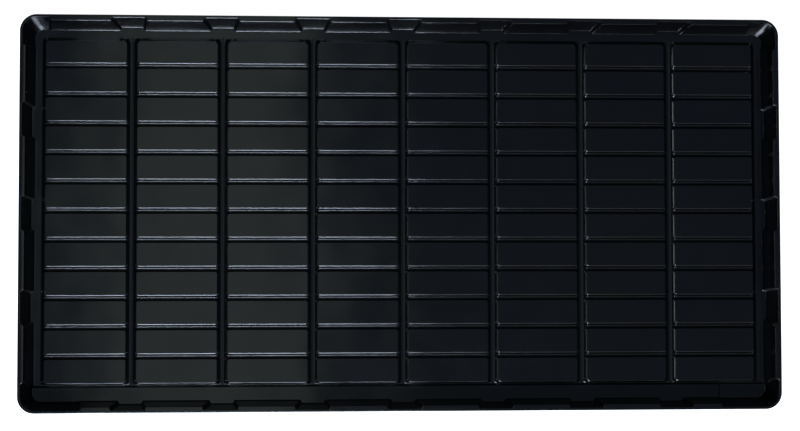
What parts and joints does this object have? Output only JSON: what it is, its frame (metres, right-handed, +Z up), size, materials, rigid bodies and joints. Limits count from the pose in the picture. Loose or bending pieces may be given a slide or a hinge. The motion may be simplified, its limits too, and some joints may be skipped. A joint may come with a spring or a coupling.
{
  "type": "nursery flat tray",
  "caption": "Shallow moulded nursery tray with a channelled floor of raised pads, fluted walls and a turned-down rim, for pots, plugs or inserts to stand and drain in.",
  "frame": {"origin": "centre of the face the tray stands on, the underside of its channels", "axes": "+X along the tray, +Y towards its back, away from the raised front ledge, +Z up"},
  "size_m": [0.54, 0.28, 0.026],
  "materials": {
    "tray_plastic": "gloss"
  },
  "bodies": {
    "root": {"bed_1": "tray_plastic", "bed_2": "tray_plastic", "bed_3": "tray_plastic", "bed_4": "tray_plastic", "bed_5": "tray_plastic", "bed_6": "tray_plastic", "bed_7": "tray_plastic", "bed_8": "tray_plastic", "channel_1": "tray_plastic", "channel_2": "tray_plastic", "channel_3": "tray_plastic", "channel_4": "tray_plastic", "channel_5": "tray_plastic", "channel_6": "tray_plastic", "channel_7": "tray_plastic", "channel_left": "tray_plastic", "channel_right": "tray_plastic", "channel_back": "tray_plastic", "channel_front": "tray_plastic", "front_ledge": "tray_plastic", "corner_pad": "tray_plastic", "wall_front": "tray_plastic", "wall_back": "tray_plastic", "wall_left": "tray_plastic", "wall_right": "tray_plastic", "wall_corner_front_left": "tray_plastic", "wall_corner_front_right": "tray_plastic", "wall_corner_back_left": "tray_plastic", "wall_corner_back_right": "tray_plastic", "rim_front": "tray_plastic", "rim_back": "tray_plastic", "rim_left": "tray_plastic", "rim_right": "tray_plastic", "rim_corner_front_left": "tray_plastic", "rim_corner_front_right": "tray_plastic", "rim_corner_back_left": "tray_plastic", "rim_corner_back_right": "tray_plastic"}
  },
  "joints": []
}
